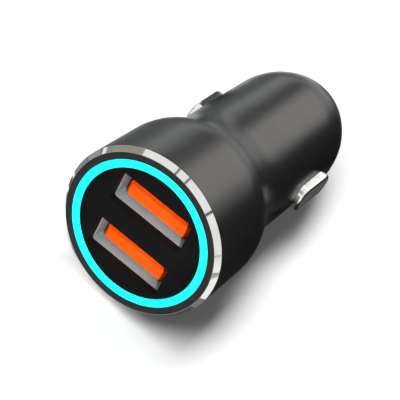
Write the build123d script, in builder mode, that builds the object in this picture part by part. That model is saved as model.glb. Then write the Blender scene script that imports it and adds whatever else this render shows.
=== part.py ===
from build123d import *
import os
from math import acos, asin, cos, degrees, hypot, radians, sin, tan

# A dual-port USB charger plug for a car's 12 V socket, in millimetres.
# The plug's axis is Y: the front face lies at Y = 0 and the sprung tip points to +Y.
# The two ports are stacked along Z, and the ground contacts stand out along +X and -X.

# Clearances
slip_gap = 0.05  # between a piece and the bore or frame it is pushed into
running_gap = 0.15  # round a piece that slides

# USB-A receptacles
port_width = 12.5  # opening of the metal shell
port_height = 5.12
port_sheet = 0.3  # sheet the shell is folded from
port_corner = 0.55  # outer corner of the folded shell
port_pitch = 9.0
port_length = 11.7  # front edge of the shell to the board behind it
tongue_width = 11.1
tongue_thickness = 1.84
tongue_recess = 1.05  # tongue's tip behind the shell's front edge
tongue_chamfer = 0.45
insulator_base = 3.6  # solid rear of the insulator
window_width = 2.6  # openings that free the retention springs
window_length = 5.4
window_setback = 2.0  # behind the shell's front edge
window_spread = 6.4
spring_width = 2.0
spring_bow = 0.38  # how far a retention spring bends into the port
pin_pitches = (-3.5, -1.0, 1.0, 3.5)
pin_width = 1.0
pin_thickness = 0.25
pin_setback = 1.0  # behind the tongue's tip
pin_crown = 0.2  # height of the contact bead
pin_tail = 1.0  # solder tail behind the board
leg_width = 1.6  # tabs of the shell that are soldered into the board

# Front end: everything is built outwards from the ports
face_margin = 0.35  # port shells' outermost corner to the rim of the face plate
face_thickness = 1.8
face_edge = 0.15
mouth_recess = 1.5  # front edge of the port shells behind the face
mouth_ease = 0.2  # the mouth is this much larger than the port all round
mouth_round = 0.4
ring_width = 1.2  # lit ring, seen from the front
ring_ledge = 0.25  # step inside the ring that carries the face plate
ring_ledge_depth = 0.8
lip_width = 1.0  # front lip of the shell round the ring
trim_width = 0.7  # bevelled ring on the shell's front edge
trim_bevel_depth = 0.9
trim_depth = 1.3
trim_land = 0.06  # blunt front edge of the bevel

# Round board behind the ports, with the lamps of the ring
board_thickness = 1.2
board_rim_gap = 0.1
board_ledge = 0.8  # seat for the board inside the shell
led_count = 6
led_length = 1.8
led_width = 0.9
led_height = 0.8
led_notch_gap = 0.2

# Shell
shoulder_lead = 2.9  # the head starts to round off this far ahead of the board's seat
head_draft = 1.2  # degrees
shoulder_arc = 11.0
neck_arc = 18.0
root_radius = 10.35  # barrel where it is a true cylinder
root_length = 4.6
barrel_draft = 1.1  # degrees
tail_length = 12.4  # tapered part of the barrel, past the side contacts
dome_arc = 15.4
tail_end_radius = 6.9
tail_end_round = 0.5
barrel_wall = 1.2
end_wall = 1.3

# Side contacts
contact_setback = 1.2  # slot's front end behind the true cylinder
contact_length = 9.6
contact_width = 4.3
contact_proud = 1.05  # outward face above the barrel's true cylinder
contact_corner = 2.0  # seen from outside
contact_rim = 0.5  # rounding round the outward face
flange_margin = 0.8
flange_thickness = 1.1
pocket_depth = 2.6  # room behind the flange for the spring

# Leaf springs behind the side contacts
leaf_thickness = 0.25
leaf_width = 3.2
leaf_foot = 0.9

# Carrier that holds the contacts and the main board inside the barrel
carrier_wall = 0.8
channel_wall = 2.8  # above and below the channel
carrier_end_wall = 1.2  # ahead of the contact pockets and behind them

# Main board
groove_wall = 1.1  # carrier's wall outside the board's edge
main_tab = 3.0

# Sprung tip
bush_radius = 4.7
bush_collar = 6.2
bush_collar_length = 2.0
bush_body = 5.5
bush_proud = 2.0
bush_lip = 1.6
bush_round = 0.7
tip_radius = 3.0
tip_proud = 4.4
tip_round = 1.7
tip_flange_radius = 3.9
tip_flange_thickness = 1.0
tip_stem_radius = 1.5
tip_stem_length = 1.6
tip_spring_length = 5.6
tip_spring_turns = 5
tip_spring_radius = 2.5
tip_spring_wire = 0.45
tip_spring_sides = 8  # flats that stand for the round wire
terminal_thickness = 0.4
terminal_tab_width = 3.0
terminal_tab_length = 2.6

# Components on the main board
can_radius = 3.0
can_length = 6.4
can_spread = 6.8
can_setback = 1.8  # behind the round board
can_bead = 0.3  # groove rolled into the can over its seal
lead_size = 0.5
lead_pitch = 2.5
lead_reach = 0.5
drum_radius = 3.5
drum_height = 4.8
drum_waist = 1.9
drum_cheek = 1.0
drum_drop = 2.9  # below the plug's axis
winding_inset = 0.35
diode_length = 4.3
diode_width = 2.6
diode_height = 2.1
diode_inset = 2.1  # from the board's upper edge
diode_draft = 5  # degrees
diode_lead_width = 1.4
diode_lead_reach = 0.6
diode_lead_thickness = 0.2
chip_length = 4.9
chip_width = 3.9
chip_height = 1.5
chip_leads = 4  # on each side
chip_lead_pitch = 1.27
chip_lead_width = 0.45
chip_lead_reach = 1.0
chip_lead_thickness = 0.25
chip_gap = 0.5  # to the row of ceramics on one side and to the fuse on the other
ceramic_count = 4
ceramic_length = 2.0
ceramic_width = 1.25
ceramic_height = 1.0
ceramic_pitch = 2.6
ceramic_inset = 0.7  # from the channel's wall
fuse_length = 6.1
fuse_width = 2.6
fuse_height = 2.2
fuse_inset = 0.4
cap_share = 0.2  # of a chip's length under each metal end cap
cap_proud = 0.08

# Radii that follow from the ports outwards
port_outer_width = port_width + 2 * port_sheet
port_outer_height = port_height + 2 * port_sheet
port_reach = hypot(port_outer_width / 2, (port_pitch + port_outer_height) / 2)
face_radius = port_reach + face_margin
ring_inner = face_radius + slip_gap
ring_outer = ring_inner + ring_width
bore_radius = ring_outer + slip_gap
lip_radius = bore_radius + lip_width
trim_inner = lip_radius + slip_gap
head_radius = trim_inner + trim_width
board_radius = bore_radius - board_rim_gap
barrel_bore = root_radius - barrel_wall

# Places along the axis, measured from the front face
tongue_tip = mouth_recess + tongue_recess
board_front = mouth_recess + port_length
board_seat = board_front + board_thickness
base_front = board_front - insulator_base
shoulder_start = board_seat - shoulder_lead
shoulder_radius = head_radius - (shoulder_start - trim_depth) * tan(radians(head_draft))
neck_drop = shoulder_radius - root_radius
neck_cosine = (shoulder_arc * cos(radians(head_draft)) + neck_arc - neck_drop) / (shoulder_arc + neck_arc)
neck_turn = degrees(acos(neck_cosine))
neck_run = (shoulder_arc + neck_arc) * sin(radians(neck_turn)) - shoulder_arc * sin(radians(head_draft))
neck_end = shoulder_start + neck_run
root_end = neck_end + root_length
dome_start = root_end + tail_length
tail_radius = root_radius - tail_length * tan(radians(barrel_draft))
dome_turn = degrees(acos(cos(radians(barrel_draft)) - (tail_radius - tail_end_radius) / dome_arc))
dome_run = dome_arc * (sin(radians(dome_turn)) - sin(radians(barrel_draft)))
tail_rim_run = tail_end_round * (1 - sin(radians(dome_turn)))
shell_end = dome_start + dome_run + tail_rim_run
end_wall_front = shell_end - end_wall
inner_dome_arc = dome_arc - barrel_wall
inner_dome_turn = degrees(asin((end_wall_front - dome_start) / inner_dome_arc))

contact_front = root_end + contact_setback + running_gap
contact_middle = contact_front + contact_length / 2
contact_rear = contact_front + contact_length
contact_crest = root_radius + contact_proud
flange_outer = barrel_bore - running_gap
flange_inner = flange_outer - flange_thickness
flange_length = contact_length + 2 * flange_margin
flange_width = contact_width + 2 * flange_margin
pocket_floor = flange_inner - pocket_depth
pocket_length = flange_length + 2 * running_gap
pocket_width = flange_width + 2 * running_gap
carrier_radius = barrel_bore - slip_gap
carrier_front = contact_middle - pocket_length / 2 - carrier_end_wall
carrier_rear = contact_middle + pocket_length / 2 + carrier_end_wall
channel_width = 2 * (pocket_floor - carrier_wall)
channel_height = 2 * (carrier_radius - channel_wall)
main_board_height = 2 * (carrier_radius - groove_wall)

bush_end = shell_end + bush_proud
tip_shoulder = bush_end - bush_lip
chamber_radius = tip_flange_radius + running_gap
spring_rear = tip_shoulder - tip_flange_thickness - running_gap
spring_front = spring_rear - tip_spring_length
terminal_front = spring_front - terminal_thickness
board_face = board_thickness / 2
main_front = board_seat + pin_tail + slip_gap
chip_span = chip_width + 2 * chip_lead_reach
ceramic_rise = (channel_height - ceramic_length) / 2 - ceramic_inset
fuse_rise = (fuse_width - channel_height) / 2 + fuse_inset
controller_rise = ceramic_rise - (ceramic_length + chip_span) / 2 - chip_gap
port_chip_rise = fuse_rise + (fuse_width + chip_span) / 2 + chip_gap


def across(depth):
    return Plane.XZ.offset(-depth)


def port_sketch_height(side):
    return side * port_pitch / 2


# Shell: one turned and bored aluminium piece, from the front lip to the hole for the nose
with BuildPart() as shell:
    with BuildSketch(Plane.XY):
        with BuildLine():
            Polyline(
                (bore_radius, 0),
                (lip_radius, 0),
                (lip_radius, trim_depth),
                (head_radius, trim_depth),
            )
            head = Line((head_radius, trim_depth), (shoulder_radius, shoulder_start))
            shoulder = JernArc(head @ 1, head % 1, shoulder_arc, neck_turn - head_draft)
            neck = JernArc(shoulder @ 1, shoulder % 1, neck_arc, -neck_turn)
            Line(neck @ 1, (root_radius, root_end))
            taper = Line((root_radius, root_end), (tail_radius, dome_start))
            dome = JernArc(taper @ 1, taper % 1, dome_arc, dome_turn - barrel_draft)
            tail_rim = JernArc(dome @ 1, dome % 1, tail_end_round, 90 - dome_turn)
            inner_dome = JernArc((barrel_bore, dome_start), (0, 1), inner_dome_arc, inner_dome_turn)
            Polyline(
                tail_rim @ 1,
                (bush_radius + slip_gap, shell_end),
                (bush_radius + slip_gap, end_wall_front),
                inner_dome @ 1,
            )
            Polyline(
                (barrel_bore, dome_start),
                (barrel_bore, neck_end),
                (bore_radius - board_ledge, board_seat),
                (bore_radius, board_seat),
                (bore_radius, 0),
            )
        make_face()
    revolve(axis=Axis.Y)
    with BuildSketch(Plane.YZ):
        with Locations((contact_middle, 0)):
            RectangleRounded(
                contact_length + 2 * running_gap,
                contact_width + 2 * running_gap,
                contact_corner + running_gap,
            )
    extrude(amount=head_radius, both=True, mode=Mode.SUBTRACT)
shell.part.label = "shell"

# Bevelled ring pressed into the rebate on the shell's front edge
with BuildPart() as trim_ring:
    with BuildSketch(Plane.XY):
        with BuildLine():
            Polyline(
                (trim_inner, 0),
                (trim_inner + trim_land, 0),
                (head_radius, trim_bevel_depth),
                (head_radius, trim_depth),
                (trim_inner, trim_depth),
                close=True,
            )
        make_face()
    revolve(axis=Axis.Y)
trim_ring.part.label = "trim_ring"

# Light ring: a clear sleeve that leads the lamps' light to the front and carries the face plate
with BuildPart() as light_ring:
    with BuildSketch(Plane.XY):
        with BuildLine():
            Polyline(
                (ring_inner, 0),
                (ring_outer, 0),
                (ring_outer, board_front),
                (ring_inner, board_front),
                (ring_inner, face_thickness + ring_ledge_depth),
                (face_radius - ring_ledge, face_thickness + ring_ledge_depth),
                (face_radius - ring_ledge, face_thickness),
                (ring_inner, face_thickness),
                close=True,
            )
        make_face()
    revolve(axis=Axis.Y)
    led_circle = (ring_inner + ring_outer) / 2
    with BuildSketch(across(board_front)):
        with PolarLocations(led_circle, led_count):
            Rectangle(2 * ring_width, led_length + 2 * led_notch_gap)
    extrude(amount=led_height + led_notch_gap, mode=Mode.SUBTRACT)
light_ring.part.label = "light_ring"

# Face plate with the two port mouths; pockets behind them locate the port shells
with BuildPart() as face_plate:
    with BuildSketch(across(face_thickness)):
        Circle(face_radius)
    extrude(amount=face_thickness)
    chamfer(face_plate.edges().group_by(Axis.Y)[0], face_edge)
    with BuildSketch(across(face_thickness)):
        for side in (-1, 1):
            with Locations((0, port_sketch_height(side))):
                RectangleRounded(port_width + 2 * mouth_ease, port_height + 2 * mouth_ease, mouth_round)
    extrude(amount=face_thickness, mode=Mode.SUBTRACT)
    with BuildSketch(across(face_thickness)):
        for side in (-1, 1):
            with Locations((0, port_sketch_height(side))):
                RectangleRounded(
                    port_outer_width + 2 * slip_gap,
                    port_outer_height + 2 * slip_gap,
                    port_corner + slip_gap,
                )
    extrude(amount=face_thickness - mouth_recess, mode=Mode.SUBTRACT)
face_plate.part.label = "face_plate"


def port_shell(side):
    """Folded metal shell of one receptacle, with two retention springs in each broad wall."""
    height = port_sketch_height(side)
    with BuildPart() as folded:
        with BuildSketch(across(board_front)):
            with Locations((0, height)):
                RectangleRounded(port_outer_width, port_outer_height, port_corner)
                RectangleRounded(
                    port_width, port_height, port_corner - port_sheet, mode=Mode.SUBTRACT
                )
        extrude(amount=port_length)
        window_front = mouth_recess + window_setback
        with BuildSketch(Plane.XY.offset(height)):
            with Locations((0, window_front + window_length / 2)):
                with GridLocations(window_spread, 0, 2, 1):
                    Rectangle(window_width, window_length)
        extrude(amount=port_outer_height, both=True, mode=Mode.SUBTRACT)
        for wall in (-1, 1):
            root = height + wall * (port_height + port_sheet) / 2
            with BuildSketch(Plane.YZ) as leaf:
                with BuildLine():
                    ThreePointArc(
                        (window_front, root),
                        (window_front + window_length / 2, root - wall * spring_bow),
                        (window_front + window_length, root),
                    )
                trace(line_width=port_sheet)
            for place in (-1, 1):
                start = place * window_spread / 2 - spring_width / 2
                extrude(leaf.sketch.moved(Location((start, 0, 0))), amount=spring_width, dir=(1, 0, 0))
        with BuildSketch(across(board_seat + pin_tail)):
            with Locations((0, height)):
                with GridLocations(port_width + port_sheet, 0, 2, 1):
                    Rectangle(port_sheet, leg_width)
        extrude(amount=board_thickness + pin_tail)
    return folded.part


def port_insulator(side):
    """Moulded insulator of one receptacle: the tongue and the block that closes the rear."""
    height = port_sketch_height(side)
    tongue_top = height - slip_gap
    with BuildPart() as moulded:
        with BuildSketch(across(board_front)):
            with Locations((0, height)):
                RectangleRounded(
                    port_width - 2 * slip_gap, port_height - 2 * slip_gap, port_corner - port_sheet
                )
        extrude(amount=insulator_base)
        with BuildSketch(across(base_front)):
            with Locations((0, tongue_top - tongue_thickness / 2)):
                Rectangle(tongue_width, tongue_thickness)
        extrude(amount=base_front - tongue_tip)
        tip_edges = moulded.edges().group_by(Axis.Y)[0].filter_by(Axis.Z)
        chamfer(tip_edges, tongue_chamfer)
        with BuildSketch(across(board_front)):
            with Locations((0, tongue_top - pin_thickness / 2)):
                with Locations(*[(pitch, 0) for pitch in pin_pitches]):
                    Rectangle(pin_width, pin_thickness)
        extrude(amount=board_front - tongue_tip - pin_setback, mode=Mode.SUBTRACT)
    return moulded.part


def port_pins(side):
    """Four contact strips laid in the tongue, beaded at the front, with tails through the board."""
    tongue_top = port_sketch_height(side) - slip_gap
    front = tongue_tip + pin_setback
    rear = board_seat + pin_tail
    bead = base_front - front
    with BuildPart() as strips:
        with BuildSketch(Plane.YZ) as strip:
            with BuildLine():
                Polyline(
                    (front + bead / 2, tongue_top),
                    (rear, tongue_top),
                    (rear, tongue_top - pin_thickness),
                    (front, tongue_top - pin_thickness),
                    (front, tongue_top),
                )
                ThreePointArc(
                    (front, tongue_top),
                    (front + bead / 4, tongue_top + pin_crown),
                    (front + bead / 2, tongue_top),
                )
            make_face()
        for pitch in pin_pitches:
            place = Location((pitch - pin_width / 2, 0, 0))
            extrude(strip.sketch.moved(place), amount=pin_width, dir=(1, 0, 0))
    return strips.part


# Receptacles: the same three pieces for each port
os.makedirs("parts", exist_ok=True)
for port_name, port_side in (("upper", 1), ("lower", -1)):
    for piece_name, make_piece in (
        ("usb_shell", port_shell),
        ("usb_insulator", port_insulator),
        ("usb_pins", port_pins),
    ):
        piece = make_piece(port_side)
        piece.label = piece_name + "_" + port_name
        export_step(piece, "parts/" + piece.label + ".step")

# Round board behind the ports
with BuildPart() as usb_board:
    with BuildSketch(across(board_seat)):
        Circle(board_radius)
        Rectangle(board_thickness + 2 * slip_gap, main_tab + 2 * slip_gap, mode=Mode.SUBTRACT)
        for side in (-1, 1):
            with Locations((0, port_sketch_height(side) - slip_gap - pin_thickness / 2)):
                with Locations(*[(pitch, 0) for pitch in pin_pitches]):
                    Rectangle(
                        pin_width + 2 * slip_gap, pin_thickness + 2 * slip_gap, mode=Mode.SUBTRACT
                    )
            with Locations((0, port_sketch_height(side))):
                with GridLocations(port_width + port_sheet, 0, 2, 1):
                    Rectangle(port_sheet + 2 * slip_gap, leg_width + 2 * slip_gap, mode=Mode.SUBTRACT)
    extrude(amount=board_thickness)
usb_board.part.label = "usb_board"

# Lamps round the rim of that board, under the light ring
with BuildPart() as ring_leds:
    with BuildSketch(across(board_front)):
        with PolarLocations(led_circle, led_count):
            Rectangle(led_width, led_length)
    extrude(amount=led_height)
ring_leds.part.label = "ring_leds"

# Main board, upright along the axis, with a tab through the round board
with BuildPart() as main_board:
    with BuildSketch(Plane.YZ):
        with BuildLine():
            half = main_board_height / 2
            Polyline(
                (main_front, half),
                (terminal_front, half),
                (terminal_front, -half),
                (main_front, -half),
                (main_front, -main_tab / 2),
                (board_front, -main_tab / 2),
                (board_front, main_tab / 2),
                (main_front, main_tab / 2),
                close=True,
            )
        make_face()
    extrude(amount=board_face, both=True)
main_board.part.label = "main_board"

# Side contact: a flat-faced shoe that slides in the shell's slot, held in by its flange
with BuildPart() as contact_shoe:
    with BuildSketch(Plane.YZ.offset(flange_inner)):
        with Locations((contact_middle, 0)):
            RectangleRounded(contact_length, contact_width, contact_corner)
    extrude(amount=contact_crest - flange_inner)
    fillet(contact_shoe.faces().sort_by(Axis.X)[-1].edges(), contact_rim)

with BuildPart() as side_contact_right:
    with BuildSketch(Plane.YZ.offset(flange_inner)):
        with Locations((contact_middle, 0)):
            RectangleRounded(flange_length, flange_width, contact_corner)
    extrude(amount=flange_thickness)
    with BuildSketch(across(contact_rear + flange_margin)):
        Circle(flange_outer)
    extrude(amount=flange_length, mode=Mode.INTERSECT)
    add(contact_shoe.part)
side_contact_right.part.label = "side_contact_right"

with BuildPart() as side_contact_left:
    mirror(side_contact_right.part, about=Plane.YZ)
side_contact_left.part.label = "side_contact_left"

# Leaf spring: bowed under the contact's flange, with a tail through the carrier to the board
leaf_front = contact_middle - flange_length / 2 + leaf_thickness
leaf_rear = contact_middle + flange_length / 2 - leaf_thickness
leaf_floor = pocket_floor + leaf_thickness / 2
with BuildPart() as ground_spring_right:
    with BuildSketch(Plane.XY):
        with BuildLine():
            Polyline(
                (board_face, leaf_front),
                (leaf_floor, leaf_front),
                (leaf_floor, leaf_front + leaf_foot),
            )
            ThreePointArc(
                (leaf_floor, leaf_front + leaf_foot),
                (flange_inner - leaf_thickness / 2, contact_middle),
                (leaf_floor, leaf_rear - leaf_foot),
            )
            Line((leaf_floor, leaf_rear - leaf_foot), (leaf_floor, leaf_rear))
        trace(line_width=leaf_thickness)
    extrude(amount=leaf_width / 2, both=True)
ground_spring_right.part.label = "ground_spring_right"

with BuildPart() as ground_spring_left:
    mirror(ground_spring_right.part, about=Plane.YZ)
ground_spring_left.part.label = "ground_spring_left"

# Carrier: a moulded frame in the barrel, with a pocket for each contact and grooves for the board
with BuildPart() as contact_carrier:
    with BuildSketch(across(carrier_rear)):
        Circle(carrier_radius)
        Rectangle(channel_width, channel_height, mode=Mode.SUBTRACT)
        Rectangle(
            board_thickness + 2 * slip_gap, main_board_height + 2 * slip_gap, mode=Mode.SUBTRACT
        )
    extrude(amount=carrier_rear - carrier_front)
    for side in (-1, 1):
        with BuildSketch(Plane.YZ.offset(side * pocket_floor)):
            with Locations((contact_middle, 0)):
                Rectangle(pocket_length, pocket_width)
        extrude(amount=side * barrel_bore, mode=Mode.SUBTRACT)
    with BuildSketch(Plane.YZ):
        with Locations((leaf_front, 0)):
            Rectangle(leaf_thickness + 2 * slip_gap, leaf_width + 2 * slip_gap)
    extrude(amount=barrel_bore, both=True, mode=Mode.SUBTRACT)
contact_carrier.part.label = "contact_carrier"

# Nose: an insulating bush through the shell's end wall, with a chamber for the tip's spring
with BuildPart() as nose_bush:
    with BuildSketch(Plane.XY):
        with BuildLine():
            Polyline(
                (chamber_radius, terminal_front),
                (bush_body, terminal_front),
                (bush_body, end_wall_front - bush_collar_length),
                (bush_collar, end_wall_front - bush_collar_length),
                (bush_collar, end_wall_front),
                (bush_radius, end_wall_front),
                (bush_radius, bush_end),
                (tip_radius + running_gap, bush_end),
                (tip_radius + running_gap, tip_shoulder),
                (chamber_radius, tip_shoulder),
                close=True,
            )
        make_face()
    revolve(axis=Axis.Y)
    fillet(nose_bush.edges().group_by(Axis.Y)[-1].sort_by(SortBy.RADIUS)[-1], bush_round)
nose_bush.part.label = "nose_bush"

# Tip contact: a domed pin with a flange that stops it and a stem that centres its spring
with BuildPart() as tip_contact:
    with BuildSketch(Plane.XY):
        with BuildLine():
            Polyline(
                (0, spring_rear - tip_stem_length),
                (tip_stem_radius, spring_rear - tip_stem_length),
                (tip_stem_radius, spring_rear),
                (tip_flange_radius, spring_rear),
                (tip_flange_radius, spring_rear + tip_flange_thickness),
                (tip_radius, spring_rear + tip_flange_thickness),
                (tip_radius, bush_end + tip_proud),
                (0, bush_end + tip_proud),
                close=True,
            )
        make_face()
    revolve(axis=Axis.Y)
    fillet(tip_contact.edges().group_by(Axis.Y)[-1], tip_round)
tip_contact.part.label = "tip_contact"

# Coil spring behind the tip
with BuildPart() as tip_spring:
    coil_run = tip_spring_length - tip_spring_wire
    coil_start = (0, spring_front + tip_spring_wire / 2, 0)
    with BuildLine():
        coil = Helix(coil_run / tip_spring_turns, coil_run, tip_spring_radius, coil_start, (0, 1, 0))
    with BuildSketch(Plane(origin=coil @ 0, z_dir=coil % 0)):
        RegularPolygon(tip_spring_wire / 2, tip_spring_sides)
    sweep(path=coil, is_frenet=True)
tip_spring.part.label = "tip_spring"

# Terminal: a brass plate under the spring, with two tabs soldered to the main board
with BuildPart() as tip_terminal:
    with BuildSketch(across(spring_front)):
        Circle(chamber_radius - slip_gap)
    extrude(amount=terminal_thickness)
    for side in (-1, 1):
        with BuildSketch(Plane.YZ.offset(side * board_face)):
            with Locations((terminal_front - terminal_tab_length / 2, 0)):
                Rectangle(terminal_tab_length, terminal_tab_width)
        extrude(amount=side * terminal_thickness)
tip_terminal.part.label = "tip_terminal"


def capacitor_can(side):
    """Sealed electrolytic can lying on the left of the board, with its two leads bent to it."""
    can_front = board_seat + can_setback
    can_rear = can_front + can_length
    centre = -(board_face + can_radius)
    height = side * can_spread / 2
    with BuildPart() as can:
        with BuildSketch(across(can_rear)):
            with Locations((centre, height)):
                Circle(can_radius)
        extrude(amount=can_length)
        with BuildSketch(across(can_rear - 2 * can_bead)):
            with Locations((centre, height)):
                Circle(can_radius)
                Circle(can_radius - can_bead, mode=Mode.SUBTRACT)
        extrude(amount=2 * can_bead, mode=Mode.SUBTRACT)
        with BuildSketch(Plane.XY.offset(height)) as lead:
            with BuildLine():
                Polyline(
                    (centre, can_rear),
                    (centre, can_rear + lead_reach + lead_size),
                    (-board_face, can_rear + lead_reach + lead_size),
                    (-board_face, can_rear + lead_reach),
                    (centre + lead_size, can_rear + lead_reach),
                    (centre + lead_size, can_rear),
                    close=True,
                )
            make_face()
        for place in (-1, 1):
            shift = Location((0, 0, place * lead_pitch / 2))
            extrude(lead.sketch.moved(shift), amount=lead_size / 2, both=True)
    return can.part


input_capacitor = capacitor_can(1)
input_capacitor.label = "input_capacitor"
output_capacitor = capacitor_can(-1)
output_capacitor.label = "output_capacitor"

# Inductor on the right of the board: a ferrite drum and the copper wound in its waist
drum_middle = board_seat + can_setback + drum_radius
drum_plane = Plane(origin=(board_face, drum_middle, -drum_drop), x_dir=(0, 1, 0), z_dir=(1, 0, 0))
with BuildPart() as inductor_core:
    with BuildSketch(drum_plane):
        Circle(drum_radius)
    extrude(amount=drum_height)
    with BuildSketch(drum_plane.offset(drum_cheek)):
        Circle(drum_radius)
        Circle(drum_waist, mode=Mode.SUBTRACT)
    extrude(amount=drum_height - 2 * drum_cheek, mode=Mode.SUBTRACT)
inductor_core.part.label = "inductor_core"

with BuildPart() as inductor_winding:
    with BuildSketch(drum_plane.offset(drum_cheek)):
        Circle(drum_radius - winding_inset)
        Circle(drum_waist, mode=Mode.SUBTRACT)
    extrude(amount=drum_height - 2 * drum_cheek)
inductor_winding.part.label = "inductor_winding"

# Rectifier diode above the inductor
with BuildPart() as rectifier_diode:
    diode_place = (drum_middle, (main_board_height - diode_width) / 2 - diode_inset)
    with BuildSketch(Plane.YZ.offset(board_face)):
        with Locations(diode_place):
            Rectangle(diode_length, diode_width)
    extrude(amount=diode_height, taper=diode_draft)
    with BuildSketch(Plane.YZ.offset(board_face)):
        with Locations(diode_place):
            Rectangle(diode_length + 2 * diode_lead_reach, diode_lead_width)
    extrude(amount=diode_lead_thickness)
rectifier_diode.part.label = "rectifier_diode"


def small_outline_chip(side, rise):
    """Eight-lead chip on one side of the main board, level with the side contacts."""
    plane = Plane.YZ.offset(side * board_face)
    with BuildPart() as chip:
        with BuildSketch(plane.offset(side * chip_lead_thickness)):
            with Locations((contact_middle, rise)):
                Rectangle(chip_length, chip_width)
        extrude(amount=side * chip_height)
        with BuildSketch(plane):
            with Locations((contact_middle, rise)):
                with GridLocations(chip_lead_pitch, 0, chip_leads, 1):
                    Rectangle(chip_lead_width, chip_span)
        extrude(amount=side * chip_lead_thickness)
    return chip.part


controller_chip = small_outline_chip(1, controller_rise)
controller_chip.label = "controller_chip"
port_chip = small_outline_chip(-1, port_chip_rise)
port_chip.label = "port_chip"

# Ceramic capacitors in a row along the upper part of the board's right side
with BuildPart() as ceramic_capacitors:
    with BuildSketch(Plane.YZ.offset(board_face)):
        with Locations((contact_middle, ceramic_rise)):
            with GridLocations(ceramic_pitch, 0, ceramic_count, 1):
                Rectangle(ceramic_width, ceramic_length)
    extrude(amount=ceramic_height)
    with BuildSketch(Plane.YZ.offset(board_face + ceramic_height - cap_proud)):
        with Locations((contact_middle, ceramic_rise)):
            with GridLocations(ceramic_pitch, 0, ceramic_count, 1):
                Rectangle(ceramic_width, ceramic_length * (1 - 2 * cap_share))
    extrude(amount=cap_proud, mode=Mode.SUBTRACT)
ceramic_capacitors.part.label = "ceramic_capacitors"

# Fuse on the left side, between the terminal's tab and the port chip
with BuildPart() as fuse:
    fuse_waist = fuse_length * (1 - 2 * cap_share)
    with BuildSketch(Plane.YZ.offset(-board_face)):
        with Locations((contact_middle, fuse_rise)):
            Rectangle(fuse_length, fuse_width)
    extrude(amount=-fuse_height)
    with BuildSketch(Plane.YZ.offset(-board_face)):
        with Locations((contact_middle, fuse_rise)):
            Rectangle(fuse_waist, fuse_width)
            Rectangle(fuse_waist, fuse_width - 2 * cap_proud, mode=Mode.SUBTRACT)
    extrude(amount=-fuse_height, mode=Mode.SUBTRACT)
    with BuildSketch(Plane.YZ.offset(cap_proud - board_face - fuse_height)):
        with Locations((contact_middle, fuse_rise)):
            Rectangle(fuse_waist, fuse_width)
    extrude(amount=-cap_proud, mode=Mode.SUBTRACT)
fuse.part.label = "fuse"

for piece in (
    shell.part,
    trim_ring.part,
    light_ring.part,
    face_plate.part,
    usb_board.part,
    ring_leds.part,
    main_board.part,
    side_contact_right.part,
    side_contact_left.part,
    ground_spring_right.part,
    ground_spring_left.part,
    contact_carrier.part,
    nose_bush.part,
    tip_contact.part,
    tip_spring.part,
    tip_terminal.part,
    input_capacitor,
    output_capacitor,
    inductor_core.part,
    inductor_winding.part,
    rectifier_diode.part,
    controller_chip,
    port_chip,
    ceramic_capacitors.part,
    fuse.part,
):
    export_step(piece, "parts/" + piece.label + ".step")
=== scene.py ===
import bpy
import math
from mathutils import Matrix, Vector


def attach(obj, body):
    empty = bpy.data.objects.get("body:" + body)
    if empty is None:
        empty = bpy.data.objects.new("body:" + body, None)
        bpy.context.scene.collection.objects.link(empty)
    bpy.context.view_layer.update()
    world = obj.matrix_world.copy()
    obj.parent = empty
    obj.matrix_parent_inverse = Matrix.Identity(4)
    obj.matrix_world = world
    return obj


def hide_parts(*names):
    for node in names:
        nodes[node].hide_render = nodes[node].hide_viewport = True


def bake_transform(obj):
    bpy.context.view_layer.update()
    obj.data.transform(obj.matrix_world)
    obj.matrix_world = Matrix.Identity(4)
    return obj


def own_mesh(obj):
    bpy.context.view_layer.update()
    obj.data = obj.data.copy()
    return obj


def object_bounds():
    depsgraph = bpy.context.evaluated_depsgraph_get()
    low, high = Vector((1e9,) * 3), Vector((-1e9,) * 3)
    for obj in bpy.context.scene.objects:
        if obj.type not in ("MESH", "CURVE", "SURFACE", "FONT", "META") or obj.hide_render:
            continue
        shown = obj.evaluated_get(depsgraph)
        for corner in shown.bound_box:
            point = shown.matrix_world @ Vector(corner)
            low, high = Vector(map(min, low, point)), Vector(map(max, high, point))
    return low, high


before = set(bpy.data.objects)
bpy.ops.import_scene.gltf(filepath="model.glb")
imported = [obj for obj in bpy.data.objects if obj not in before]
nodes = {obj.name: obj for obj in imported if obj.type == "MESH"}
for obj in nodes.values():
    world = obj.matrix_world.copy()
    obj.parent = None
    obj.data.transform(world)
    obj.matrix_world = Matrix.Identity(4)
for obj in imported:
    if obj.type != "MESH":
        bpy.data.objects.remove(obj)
cadLow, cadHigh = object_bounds()
scene = bpy.context.scene
scene.view_settings.view_transform = "Standard"
print("frame loaded:", len(nodes), "nodes")

# camera: looks down on the face from the right, rolled with the plug
cameraSet = {
    "aim": (0.0, 0.0196, -0.0035),
    "azimuth": 15.66,
    "elevation": 36.96,
    "roll": 29.1,
    "distance": 0.2661,
    "lens": 157.5,
    "sensor": 36.0,
    "nearest": 0.01,
}


def makeCamera(settings):
    turn = math.radians(settings["azimuth"])
    rise = math.radians(settings["elevation"])
    back = Vector((math.sin(turn) * math.cos(rise), -math.cos(turn) * math.cos(rise), math.sin(rise)))
    data = bpy.data.cameras.new("photoCamera")
    data.lens = settings["lens"]
    data.sensor_width = settings["sensor"]
    data.clip_start = settings["nearest"]
    camera = bpy.data.objects.new("photoCamera", data)
    scene.collection.objects.link(camera)
    look = (-back).to_track_quat("-Z", "Y").to_matrix().to_4x4()
    rolled = look @ Matrix.Rotation(math.radians(settings["roll"]), 4, "Z")
    camera.matrix_world = Matrix.Translation(Vector(settings["aim"]) + back * settings["distance"]) @ rolled
    scene.camera = camera


makeCamera(cameraSet)
print("camera set")


# small helpers for the node trees
noiseSet = {"low": 0.3, "high": 0.7, "detail": 3.0, "roughness": 0.55}


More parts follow.
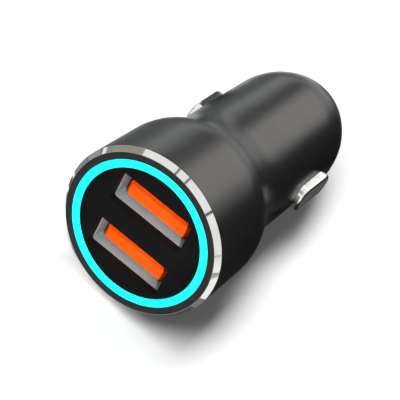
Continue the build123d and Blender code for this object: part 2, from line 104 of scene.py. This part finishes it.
def startMaterial(name):
    material = bpy.data.materials.new(name)
    material.use_nodes = True
    tree = material.node_tree
    return material, tree, tree.nodes["Principled BSDF"]


def addNode(tree, kind, **inputs):
    node = tree.nodes.new(kind)
    for key, value in inputs.items():
        node.inputs[key].default_value = value
    return node


def objectPlace(tree):
    return tree.nodes.new("ShaderNodeTexCoord").outputs["Object"]


def grain(tree, place, size):
    noise = addNode(tree, "ShaderNodeTexNoise", Scale=1.0 / size)
    noise.inputs["Detail"].default_value = noiseSet["detail"]
    noise.inputs["Roughness"].default_value = noiseSet["roughness"]
    tree.links.new(place, noise.inputs["Vector"])
    return noise.outputs["Fac"]


def spread(tree, factor, low, high):
    span = tree.nodes.new("ShaderNodeMapRange")
    tree.links.new(factor, span.inputs["Value"])
    span.inputs["From Min"].default_value = noiseSet["low"]
    span.inputs["From Max"].default_value = noiseSet["high"]
    span.inputs["To Min"].default_value = low
    span.inputs["To Max"].default_value = high
    return span.outputs["Result"]


def twoTone(tree, factor, first, second):
    ramp = tree.nodes.new("ShaderNodeValToRGB")
    ramp.color_ramp.elements[0].position = noiseSet["low"]
    ramp.color_ramp.elements[1].position = noiseSet["high"]
    ramp.color_ramp.elements[0].color = (*first, 1.0)
    ramp.color_ramp.elements[1].color = (*second, 1.0)
    tree.links.new(factor, ramp.inputs["Fac"])
    return ramp.outputs["Color"]


def addBump(tree, shader, height, depth, strength):
    bump = addNode(tree, "ShaderNodeBump", Strength=strength, Distance=depth)
    tree.links.new(height, bump.inputs["Height"])
    tree.links.new(bump.outputs["Normal"], shader.inputs["Normal"])


def axisRadius(tree, place):  # distance from the plug's axis, for turned faces
    split = tree.nodes.new("ShaderNodeSeparateXYZ")
    tree.links.new(place, split.inputs["Vector"])
    flat = tree.nodes.new("ShaderNodeCombineXYZ")
    tree.links.new(split.outputs["X"], flat.inputs["X"])
    tree.links.new(split.outputs["Z"], flat.inputs["Y"])
    length = tree.nodes.new("ShaderNodeVectorMath")
    length.operation = "LENGTH"
    tree.links.new(flat.outputs["Vector"], length.inputs[0])
    return length.outputs["Value"], split.outputs["Y"]


def seenRays(tree, path):  # camera, mirror and see-through rays
    first = tree.nodes.new("ShaderNodeMath")
    first.operation = "MAXIMUM"
    tree.links.new(path.outputs["Is Camera Ray"], first.inputs[0])
    tree.links.new(path.outputs["Is Glossy Ray"], first.inputs[1])
    second = tree.nodes.new("ShaderNodeMath")
    second.operation = "MAXIMUM"
    tree.links.new(first.outputs["Value"], second.inputs[0])
    tree.links.new(path.outputs["Is Transmission Ray"], second.inputs[1])
    return second.outputs["Value"]


def grainedFinish(name, look):
    material, tree, shader = startMaterial(name)
    place = objectPlace(tree)
    cloud = grain(tree, place, look["cloud"])
    fine = grain(tree, place, look["grain"])
    tree.links.new(twoTone(tree, cloud, look["dark"], look["light"]), shader.inputs["Base Color"])
    tree.links.new(spread(tree, fine, *look["rough"]), shader.inputs["Roughness"])
    shader.inputs["Metallic"].default_value = look.get("metal", 0.0)
    shader.inputs["IOR"].default_value = look.get("ior", 1.5)
    shader.inputs["Specular IOR Level"].default_value = look.get("specular", 0.5)
    addBump(tree, shader, fine, look["depth"], look.get("bump", 0.3))
    return material


def turnedFinish(name, look):  # cut on a lathe: fine rings about the axis
    material, tree, shader = startMaterial(name)
    place = objectPlace(tree)
    radius, along = axisRadius(tree, place)
    slope = tree.nodes.new("ShaderNodeMath")
    slope.operation = "ADD"
    tree.links.new(radius, slope.inputs[0])
    tree.links.new(along, slope.inputs[1])
    rings = addNode(tree, "ShaderNodeTexNoise", Scale=1.0 / look["pitch"], Detail=look["detail"])
    rings.noise_dimensions = "1D"
    tree.links.new(slope.outputs["Value"], rings.inputs["W"])
    cloud = grain(tree, place, look["cloud"])
    tree.links.new(twoTone(tree, cloud, look["dark"], look["light"]), shader.inputs["Base Color"])
    tree.links.new(spread(tree, rings.outputs["Fac"], *look["rough"]), shader.inputs["Roughness"])
    shader.inputs["Metallic"].default_value = 1.0
    addBump(tree, shader, rings.outputs["Fac"], look["depth"], look["bump"])
    return material


def dress(nodeName, material):
    mesh = nodes[nodeName].data
    mesh.materials.clear()
    mesh.materials.append(material)


# shell: satin black over turned aluminium
shellLook = {
    "dark": (0.006, 0.006, 0.0062),
    "light": (0.009, 0.009, 0.0093),
    "cloud": 0.006,
    "grain": 0.00012,
    "rough": (0.27, 0.33),
    "ior": 1.58,
    "specular": 0.5,
    "depth": 0.000004,
    "bump": 0.25,
}
dress("shell", grainedFinish("satinBlack", shellLook))
print("shell dressed")

# trim ring: black like the shell, with a bright bevel cut through the finish
trimLook = {
    "dark": (0.73, 0.72, 0.69),
    "light": (0.81, 0.80, 0.77),
    "cloud": 0.004,
    "pitch": 0.00006,
    "detail": 2.0,
    "rough": (0.05, 0.10),
    "depth": 0.000001,
    "bump": 0.15,
    "cutDepth": 0.00091,
}


def bevelFinish(look, coat):  # bright along the cut, the coat's black behind it
    material = turnedFinish("brightBevel", look)
    tree = material.node_tree
    shader = tree.nodes["Principled BSDF"]
    place = objectPlace(tree)
    split = tree.nodes.new("ShaderNodeSeparateXYZ")
    tree.links.new(place, split.inputs["Vector"])
    behind = tree.nodes.new("ShaderNodeMath")
    behind.operation = "GREATER_THAN"
    behind.inputs[1].default_value = look["cutDepth"]
    tree.links.new(split.outputs["Y"], behind.inputs[0])
    skin = twoTone(tree, grain(tree, place, coat["cloud"]), coat["dark"], coat["light"])
    satin = spread(tree, grain(tree, place, coat["grain"]), *coat["rough"])
    tone = tree.nodes.new("ShaderNodeMix")
    tone.data_type = "RGBA"  # sockets 6 and 7 are its two colours
    tree.links.new(behind.outputs["Value"], tone.inputs[0])
    tree.links.new(shader.inputs["Base Color"].links[0].from_socket, tone.inputs[6])
    tree.links.new(skin, tone.inputs[7])
    tree.links.new(tone.outputs[2], shader.inputs["Base Color"])
    gloss = tree.nodes.new("ShaderNodeMix")  # sockets 2 and 3 are its two plain values
    tree.links.new(behind.outputs["Value"], gloss.inputs[0])
    tree.links.new(shader.inputs["Roughness"].links[0].from_socket, gloss.inputs[2])
    tree.links.new(satin, gloss.inputs[3])
    tree.links.new(gloss.outputs[0], shader.inputs["Roughness"])
    bare = tree.nodes.new("ShaderNodeMapRange")
    tree.links.new(behind.outputs["Value"], bare.inputs["Value"])
    bare.inputs["To Min"].default_value = 1.0
    bare.inputs["To Max"].default_value = 0.0
    tree.links.new(bare.outputs["Result"], shader.inputs["Metallic"])
    return material


dress("trim_ring", bevelFinish(trimLook, shellLook))
print("trim dressed")

# light ring: clear sleeve lit from behind by six lamps
ringLook = {
    "glow": (0.010, 1.0, 1.0),
    "body": (0.012, 0.85, 0.86),
    "strength": 0.45,
    "lamps": 6,
    "dip": 0.05,
    "rough": (0.30, 0.42),
    "specular": 0.03,
    "grain": 0.0004,
}


def litRingFinish(look):
    material, tree, shader = startMaterial("litSleeve")
    place = objectPlace(tree)
    split = tree.nodes.new("ShaderNodeSeparateXYZ")
    tree.links.new(place, split.inputs["Vector"])
    bearing = tree.nodes.new("ShaderNodeMath")
    bearing.operation = "ARCTAN2"
    tree.links.new(split.outputs["Z"], bearing.inputs[0])
    tree.links.new(split.outputs["X"], bearing.inputs[1])
    wave = tree.nodes.new("ShaderNodeMath")
    wave.operation = "MULTIPLY"
    wave.inputs[1].default_value = look["lamps"]
    tree.links.new(bearing.outputs["Value"], wave.inputs[0])
    lobe = tree.nodes.new("ShaderNodeMath")
    lobe.operation = "COSINE"
    tree.links.new(wave.outputs["Value"], lobe.inputs[0])
    level = tree.nodes.new("ShaderNodeMapRange")
    tree.links.new(lobe.outputs["Value"], level.inputs["Value"])
    level.inputs["From Min"].default_value = -1.0
    level.inputs["To Min"].default_value = look["strength"] - look["dip"]
    level.inputs["To Max"].default_value = look["strength"] + look["dip"]
    tree.links.new(level.outputs["Result"], shader.inputs["Emission Strength"])
    shader.inputs["Emission Color"].default_value = (*look["glow"], 1.0)
    shader.inputs["Base Color"].default_value = (*look["body"], 1.0)
    shader.inputs["Specular IOR Level"].default_value = look["specular"]
    fine = grain(tree, place, look["grain"])
    tree.links.new(spread(tree, fine, *look["rough"]), shader.inputs["Roughness"])
    return material


dress("light_ring", litRingFinish(ringLook))
print("light ring dressed")

# face plate: black moulding with a fine spark-eroded skin
faceLook = {
    "dark": (0.0030, 0.0030, 0.0031),
    "light": (0.0045, 0.0045, 0.0047),
    "cloud": 0.004,
    "grain": 0.00015,
    "rough": (0.48, 0.60),
    "specular": 0.06,
    "depth": 0.00001,
    "bump": 0.3,
}
dress("face_plate", grainedFinish("faceBlack", faceLook))
print("face plate dressed")

# ports: plated sheet, orange mouldings and gold strips
sheetLook = {
    "dark": (0.25, 0.295, 0.305),
    "light": (0.29, 0.34, 0.35),
    "cloud": 0.003,
    "grain": 0.0001,
    "rough": (0.45, 0.58),
    "metal": 0.35,
    "depth": 0.000003,
}
orangeLook = {
    "dark": (0.86, 0.066, 0.001),
    "light": (0.94, 0.084, 0.002),
    "cloud": 0.002,
    "grain": 0.0002,
    "rough": (0.38, 0.50),
    "specular": 0.15,
    "depth": 0.000008,
}
goldLook = {
    "dark": (0.76, 0.50, 0.18),
    "light": (0.86, 0.62, 0.27),
    "cloud": 0.001,
    "grain": 0.0001,
    "rough": (0.20, 0.32),
    "metal": 1.0,
    "depth": 0.000002,
}
plated = grainedFinish("platedSheet", sheetLook)
orange = grainedFinish("orangeMoulding", orangeLook)
gold = grainedFinish("goldFlash", goldLook)
for side in ("upper", "lower"):
    dress("usb_shell_" + side, plated)
    dress("usb_insulator_" + side, orange)
    dress("usb_pins_" + side, gold)
print("ports dressed")

# sprung contacts: bright plating
contactLook = {
    "dark": (0.78, 0.78, 0.76),
    "light": (0.88, 0.88, 0.86),
    "cloud": 0.003,
    "grain": 0.0003,
    "rough": (0.07, 0.14),
    "metal": 1.0,
    "depth": 0.000002,
    "bump": 0.2,
}
brightPlate = grainedFinish("brightPlate", contactLook)
for contact in ("side_contact_right", "side_contact_left", "tip_contact"):
    dress(contact, brightPlate)
print("contacts dressed")

# nose and carrier: plain mouldings
noseLook = {
    "dark": (0.012, 0.012, 0.012),
    "light": (0.018, 0.018, 0.018),
    "cloud": 0.003,
    "grain": 0.0002,
    "rough": (0.42, 0.55),
    "depth": 0.00001,
}
carrierLook = {**noseLook, "dark": (0.08, 0.08, 0.083), "light": (0.12, 0.12, 0.125)}
dress("nose_bush", grainedFinish("noseBlack", noseLook))
dress("contact_carrier", grainedFinish("carrierGrey", carrierLook))

# what is inside
springLook = {
    "dark": (0.42, 0.42, 0.43),
    "light": (0.58, 0.58, 0.60),
    "cloud": 0.002,
    "grain": 0.00015,
    "rough": (0.22, 0.36),
    "metal": 1.0,
    "depth": 0.000003,
}
brassLook = {**springLook, "dark": (0.62, 0.42, 0.16), "light": (0.76, 0.55, 0.24)}
copperLook = {**springLook, "dark": (0.48, 0.17, 0.07), "light": (0.66, 0.27, 0.12)}
canLook = {**springLook, "dark": (0.60, 0.60, 0.62), "light": (0.72, 0.72, 0.74)}
boardLook = {
    "dark": (0.006, 0.055, 0.024),
    "light": (0.012, 0.085, 0.038),
    "cloud": 0.0025,
    "grain": 0.0002,
    "rough": (0.28, 0.42),
    "depth": 0.000006,
}
chipLook = {**noseLook, "rough": (0.55, 0.70)}
ferriteLook = {**noseLook, "dark": (0.02, 0.02, 0.022), "light": (0.04, 0.04, 0.043), "rough": (0.5, 0.7)}
lampLook = {**boardLook, "dark": (0.62, 0.80, 0.80), "light": (0.80, 0.95, 0.95)}
tanLook = {**boardLook, "dark": (0.38, 0.27, 0.15), "light": (0.50, 0.37, 0.22), "rough": (0.4, 0.55)}
fuseLook = {**boardLook, "dark": (0.60, 0.60, 0.57), "light": (0.72, 0.72, 0.69)}
insides = (
    ("springSteel", springLook, ("ground_spring_right", "ground_spring_left", "tip_spring")),
    ("stampedBrass", brassLook, ("tip_terminal",)),
    ("woundCopper", copperLook, ("inductor_winding",)),
    ("drawnCan", canLook, ("input_capacitor", "output_capacitor")),
    ("boardLacquer", boardLook, ("usb_board", "main_board")),
    ("chipPackage", chipLook, ("controller_chip", "port_chip", "rectifier_diode")),
    ("firedFerrite", ferriteLook, ("inductor_core",)),
    ("clearLamp", lampLook, ("ring_leds",)),
    ("tanCeramic", tanLook, ("ceramic_capacitors",)),
    ("fuseBody", fuseLook, ("fuse",)),
)
for finishName, look, members in insides:
    finish = grainedFinish(finishName, look)
    for member in members:
        dress(member, finish)
print("inside dressed")


def springCopy(nodeName):
    node = nodes[nodeName]
    copy = bpy.data.objects.new(nodeName + "Live", node.data.copy())
    scene.collection.objects.link(copy)
    copy.matrix_world = node.matrix_world
    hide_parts(nodeName)
    return copy


def coilSpring():
    coil = springCopy("tip_spring")
    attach(coil, "plug")
    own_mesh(coil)


def leafSpring(side):
    leaf = springCopy("ground_spring_" + side)
    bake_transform(leaf)


coilSpring()
leafSpring("right")
leafSpring("left")
print("springs set")

# floor: pale, tilted so that the head and the tail both touch it
floorSet = {
    "size": 3.0,
    "tone": (0.93, 0.93, 0.93),
    "paler": (0.94, 0.94, 0.94),
    "cloud": 0.05,
    "rough": 0.9,
    "lift": 0.06,
    "gap": 0.00002,
    "steepest": 0.5,
    "halvings": 40,
}


def restingLine(settings):  # slope and drop of the plane under the shell
    shell = [(math.hypot(v.co.x, v.co.z), v.co.y) for v in nodes["shell"].data.vertices]
    middle = (cadLow.y + cadHigh.y) / 2
    head = [p for p in shell if p[1] < middle]
    tail = [p for p in shell if p[1] >= middle]
    low, high = -settings["steepest"], settings["steepest"]
    for halving in range(settings["halvings"]):
        slope = (low + high) / 2
        headReach = max(r - slope * y for r, y in head)
        tailReach = max(r - slope * y for r, y in tail)
        if headReach > tailReach:
            high = slope
        else:
            low = slope
    return slope, max(headReach, tailReach)


floorSlope, floorDrop = restingLine(floorSet)


def floorHeight(y):
    return -floorDrop - floorSlope * y


def paleFloor(settings):
    half = settings["size"] / 2
    outline = ((-half, -half), (half, -half), (half, half), (-half, half))
    corners = [(x, y, floorHeight(y) - settings["gap"]) for x, y in outline]
    mesh = bpy.data.meshes.new("floor")
    mesh.from_pydata(corners, [], [(0, 1, 2, 3)])
    floor = bpy.data.objects.new("floor", mesh)
    scene.collection.objects.link(floor)
    material, tree, shader = startMaterial("paleFloor")
    place = objectPlace(tree)
    cloud = grain(tree, place, settings["cloud"])
    tree.links.new(twoTone(tree, cloud, settings["tone"], settings["paler"]), shader.inputs["Base Color"])
    shader.inputs["Roughness"].default_value = settings["rough"]
    shader.inputs["Specular IOR Level"].default_value = 0.0
    shader.inputs["Emission Color"].default_value = (1.0, 1.0, 1.0, 1.0)
    path = tree.nodes.new("ShaderNodeLightPath")
    seen = seenRays(tree, path)
    lift = tree.nodes.new("ShaderNodeMath")
    lift.operation = "MULTIPLY"
    lift.inputs[1].default_value = settings["lift"]
    tree.links.new(seen, lift.inputs[0])
    tree.links.new(lift.outputs["Value"], shader.inputs["Emission Strength"])
    mesh.materials.append(material)
    print("floor slope in degrees:", round(math.degrees(math.atan(floorSlope)), 2))


paleFloor(floorSet)

# surroundings: white where they are seen or mirrored, dim as a light
worldSet = {"seen": 1.0, "lit": 0.05}


def makeWorld(settings):
    world = bpy.data.worlds.new("studio")
    scene.world = world
    world.use_nodes = True
    tree = world.node_tree
    backdrop = tree.nodes["Background"]
    backdrop.inputs["Color"].default_value = (1.0, 1.0, 1.0, 1.0)
    path = tree.nodes.new("ShaderNodeLightPath")
    level = tree.nodes.new("ShaderNodeMapRange")
    tree.links.new(seenRays(tree, path), level.inputs["Value"])
    level.inputs["To Min"].default_value = settings["lit"]
    level.inputs["To Max"].default_value = settings["seen"]
    tree.links.new(level.outputs["Result"], backdrop.inputs["Strength"])


makeWorld(worldSet)
print("surroundings set")

# key light: a long soft box over the plug, placed by bearing and lean about its axis
studioCentre = Vector((0.0, 0.025, 0.0))
keyBox = {
    "bearing": -9.0,
    "lean": 106.5,
    "away": 1.0,
    "width": 0.36,
    "height": 1.35,
    "face": 9.5,
}


def aroundAxis(bearing, lean, away):
    turn = math.radians(bearing)
    tip = math.radians(lean)
    out = Vector((math.sin(tip) * math.sin(turn), math.cos(tip), math.sin(tip) * math.cos(turn)))
    return studioCentre + out * away


def facePlug(thing, settings):
    place = aroundAxis(settings["bearing"], settings["lean"], settings["away"])
    beside = aroundAxis(settings["bearing"] + 90.0, 90.0, 1.0) - studioCentre
    inward = (studioCentre - place).normalized()
    upward = beside.cross(inward)
    turned = Matrix((beside, upward, -inward)).transposed().to_4x4()
    thing.matrix_world = Matrix.Translation(place) @ turned


def softBox(name, settings):
    data = bpy.data.lights.new(name, "AREA")
    data.shape = "RECTANGLE"
    data.size = settings["width"]
    data.size_y = settings["height"]
    data.energy = settings["face"] * math.pi * settings["width"] * settings["height"]
    lamp = bpy.data.objects.new(name, data)
    scene.collection.objects.link(lamp)
    lamp.visible_glossy = False  # the cards are what the finishes mirror
    facePlug(lamp, settings)


softBox("keyBox", keyBox)

# snoot: a narrow lamp into the ports
snootSet = {
    "place": (0.095, -0.180, 0.140),
    "aim": (0.0, 0.0, 0.0),
    "beam": 4.8,
    "blend": 0.3,
    "power": 4.2,
    "size": 0.004,
}


def snoot(settings):
    data = bpy.data.lights.new("snoot", "SPOT")
    data.energy = settings["power"]
    data.spot_size = math.radians(settings["beam"])
    data.spot_blend = settings["blend"]
    data.shadow_soft_size = settings["size"]
    lamp = bpy.data.objects.new("snoot", data)
    scene.collection.objects.link(lamp)
    lamp.visible_glossy = False
    lamp.location = settings["place"]
    lamp.rotation_mode = "QUATERNION"
    lamp.rotation_quaternion = (Vector(settings["aim"]) - lamp.location).to_track_quat("-Z", "Y")


snoot(snootSet)
print("lamps set")

# cards that only the mirror finishes see: bright ones, and dark flags between them
hangingCards = {
    "backCard": {
        "bearing": 13.0, "lean": 40.0, "away": 0.55, "width": 0.36, "height": 0.30,
        "tone": (2.42, 2.33, 2.2),
    },
    "gapFlag": {
        "bearing": -39.0, "lean": 40.0, "away": 0.50, "width": 0.07, "height": 0.40,
        "tone": (0.17, 0.17, 0.17),
    },
    "contactFlag": {
        "bearing": -25.6, "lean": 37.6, "away": 0.51, "width": 0.08, "height": 0.07,
        "tone": (0.05, 0.055, 0.05),
    },
    "contactCard": {
        "bearing": -15.0, "lean": 38.1, "away": 0.512, "width": 0.034, "height": 0.07,
        "tone": (0.86, 0.86, 0.82),
    },
    "stripCard": {
        "bearing": -67.0, "lean": 40.0, "away": 0.55, "width": 0.08, "height": 0.30,
        "tone": (1.6, 1.7, 1.7),
    },
    "leftFlag": {
        "bearing": -97.0, "lean": 40.0, "away": 0.35, "width": 0.15, "height": 0.30,
        "tone": (0.15, 0.18, 0.17),
    },
    "sideFlag": {
        "bearing": -75.0, "lean": 91.0, "away": 0.60, "width": 0.53, "height": 0.30,
        "tone": (0.35, 0.34, 0.3),
    },
    "beamOne": {
        "bearing": -9.7, "lean": 111.2, "away": 0.44, "width": 0.016, "height": 0.32,
        "tone": (0.03, 0.03, 0.03),
    },
    "beamTwo": {
        "bearing": 4.5, "lean": 112.4, "away": 0.44, "width": 0.016, "height": 0.32,
        "tone": (0.03, 0.03, 0.03),
    },
    "beamThree": {
        "bearing": 45.5, "lean": 111.6, "away": 0.44, "width": 0.022, "height": 0.32,
        "tone": (0.06, 0.05, 0.03),
    },
}

# dark cards on the floor and one standing board, seen only by the mirror finishes too; the shade cards
# beside the plug are painted shade, the floor's shadow as the finishes mirror it
floorFlags = {
    "rightBoard": {
        "x": (0.050, 0.050), "y": (0.020, 0.300), "rise": (0.0, 0.042),
        "tone": (0.05, 0.05, 0.05),
    },
    # painted shade: a dark card where the finishes mirror the floor beside the barrel, standing in for its
    # shadow
    "rightShadeCard": {
        "x": (0.0105, 0.050), "y": (0.012, 0.200), "rise": (0.0002, 0.0002),
        "tone": (0.02, 0.02, 0.02),
    },
    # painted shade: darkens the floor that the right contact's outer face mirrors, standing in for its
    # shadow
    "contactShadeCard": {
        "x": (0.012, 0.022), "y": (0.041, 0.056), "rise": (0.0004, 0.0004),
        "tone": (0.085, 0.09, 0.08),
    },
    "contactScreen": {
        "x": (-0.0135, -0.0135), "y": (0.0355, 0.0428), "rise": (0.005, 0.0158),
        "tone": (0.04, 0.044, 0.04),
    },
    "tailMat": {
        "x": (-0.011, 0.0105), "y": (0.058, 0.13), "rise": (0.0002, 0.0002),
        "tone": (0.15, 0.15, 0.15),
    },
    # painted shade: the floor under the head's right side as the trim mirrors it, darkest here and lighter
    # at the outer edge
    "headShadeCard": {
        "x": (0.004, 0.0165), "y": (0.0005, 0.012), "rise": (0.0002, 0.0002),
        "tone": (0.09, 0.09, 0.085),
    },
    "headShadeEdge": {
        "x": (0.0165, 0.022), "y": (0.0005, 0.012), "rise": (0.0002, 0.0002),
        "tone": (0.22, 0.22, 0.2),
    },
    "leftMat": {
        "x": (-0.20, -0.0285), "y": (0.0, 0.30), "rise": (0.0002, 0.0002),
        "tone": (0.25, 0.28, 0.27),
    },
    "trimMatOne": {
        "x": (-0.0262, -0.0214), "y": (0.001, 0.024), "rise": (0.0002, 0.0002),
        "tone": (0.08, 0.08, 0.078),
    },
    "trimMatTwo": {
        "x": (-0.0196, -0.010), "y": (0.001, 0.024), "rise": (0.0002, 0.0002),
        "tone": (0.08, 0.08, 0.078),
    },
    "trimMatFar": {
        "x": (-0.20, -0.0535), "y": (0.0, 0.05), "rise": (0.0003, 0.0003),
        "tone": (0.38, 0.38, 0.38),
    },
    "streakOne": {
        "x": (-0.156, -0.142), "y": (0.0, 0.05), "rise": (0.0004, 0.0004),
        "tone": (0.05, 0.05, 0.05),
    },
    "streakTwo": {
        "x": (-0.0528, -0.0512), "y": (0.0, 0.05), "rise": (0.0004, 0.0004),
        "tone": (0.05, 0.05, 0.05),
    },
    "frontMat": {
        "x": (-0.10, 0.06), "y": (-0.12, -0.0005), "rise": (0.0002, 0.0002),
        "tone": (0.4, 0.4, 0.4),
    },
}


def showCard(name, corners, tone):
    mesh = bpy.data.meshes.new(name)
    mesh.from_pydata(corners, [], [(0, 1, 2, 3)])
    card = bpy.data.objects.new(name, mesh)
    scene.collection.objects.link(card)
    material = bpy.data.materials.new(name)
    material.use_nodes = True
    tree = material.node_tree
    tree.nodes.clear()
    glow = addNode(tree, "ShaderNodeEmission", Color=(*tone, 1.0), Strength=1.0)
    output = tree.nodes.new("ShaderNodeOutputMaterial")
    tree.links.new(glow.outputs["Emission"], output.inputs["Surface"])
    mesh.materials.append(material)
    card.visible_camera = False
    card.visible_diffuse = False
    card.visible_transmission = False
    card.visible_shadow = False
    return card


def hangingCard(name, settings):
    halfWide = settings["width"] / 2
    halfHigh = settings["height"] / 2
    corners = [(x * halfWide, y * halfHigh, 0.0) for x, y in ((-1, -1), (1, -1), (1, 1), (-1, 1))]
    facePlug(showCard(name, corners, settings["tone"]), settings)


def floorFlag(name, settings):
    corners = []
    for y, order in zip(settings["y"], ((0, 1), (1, 0))):
        for side in order:
            corners.append((settings["x"][side], y, floorHeight(y) + settings["rise"][side]))
    showCard(name, corners, settings["tone"])


for cardName, cardSet in hangingCards.items():
    hangingCard(cardName, cardSet)
for flagName, flagSet in floorFlags.items():
    floorFlag(flagName, flagSet)
print("cards and flags set")
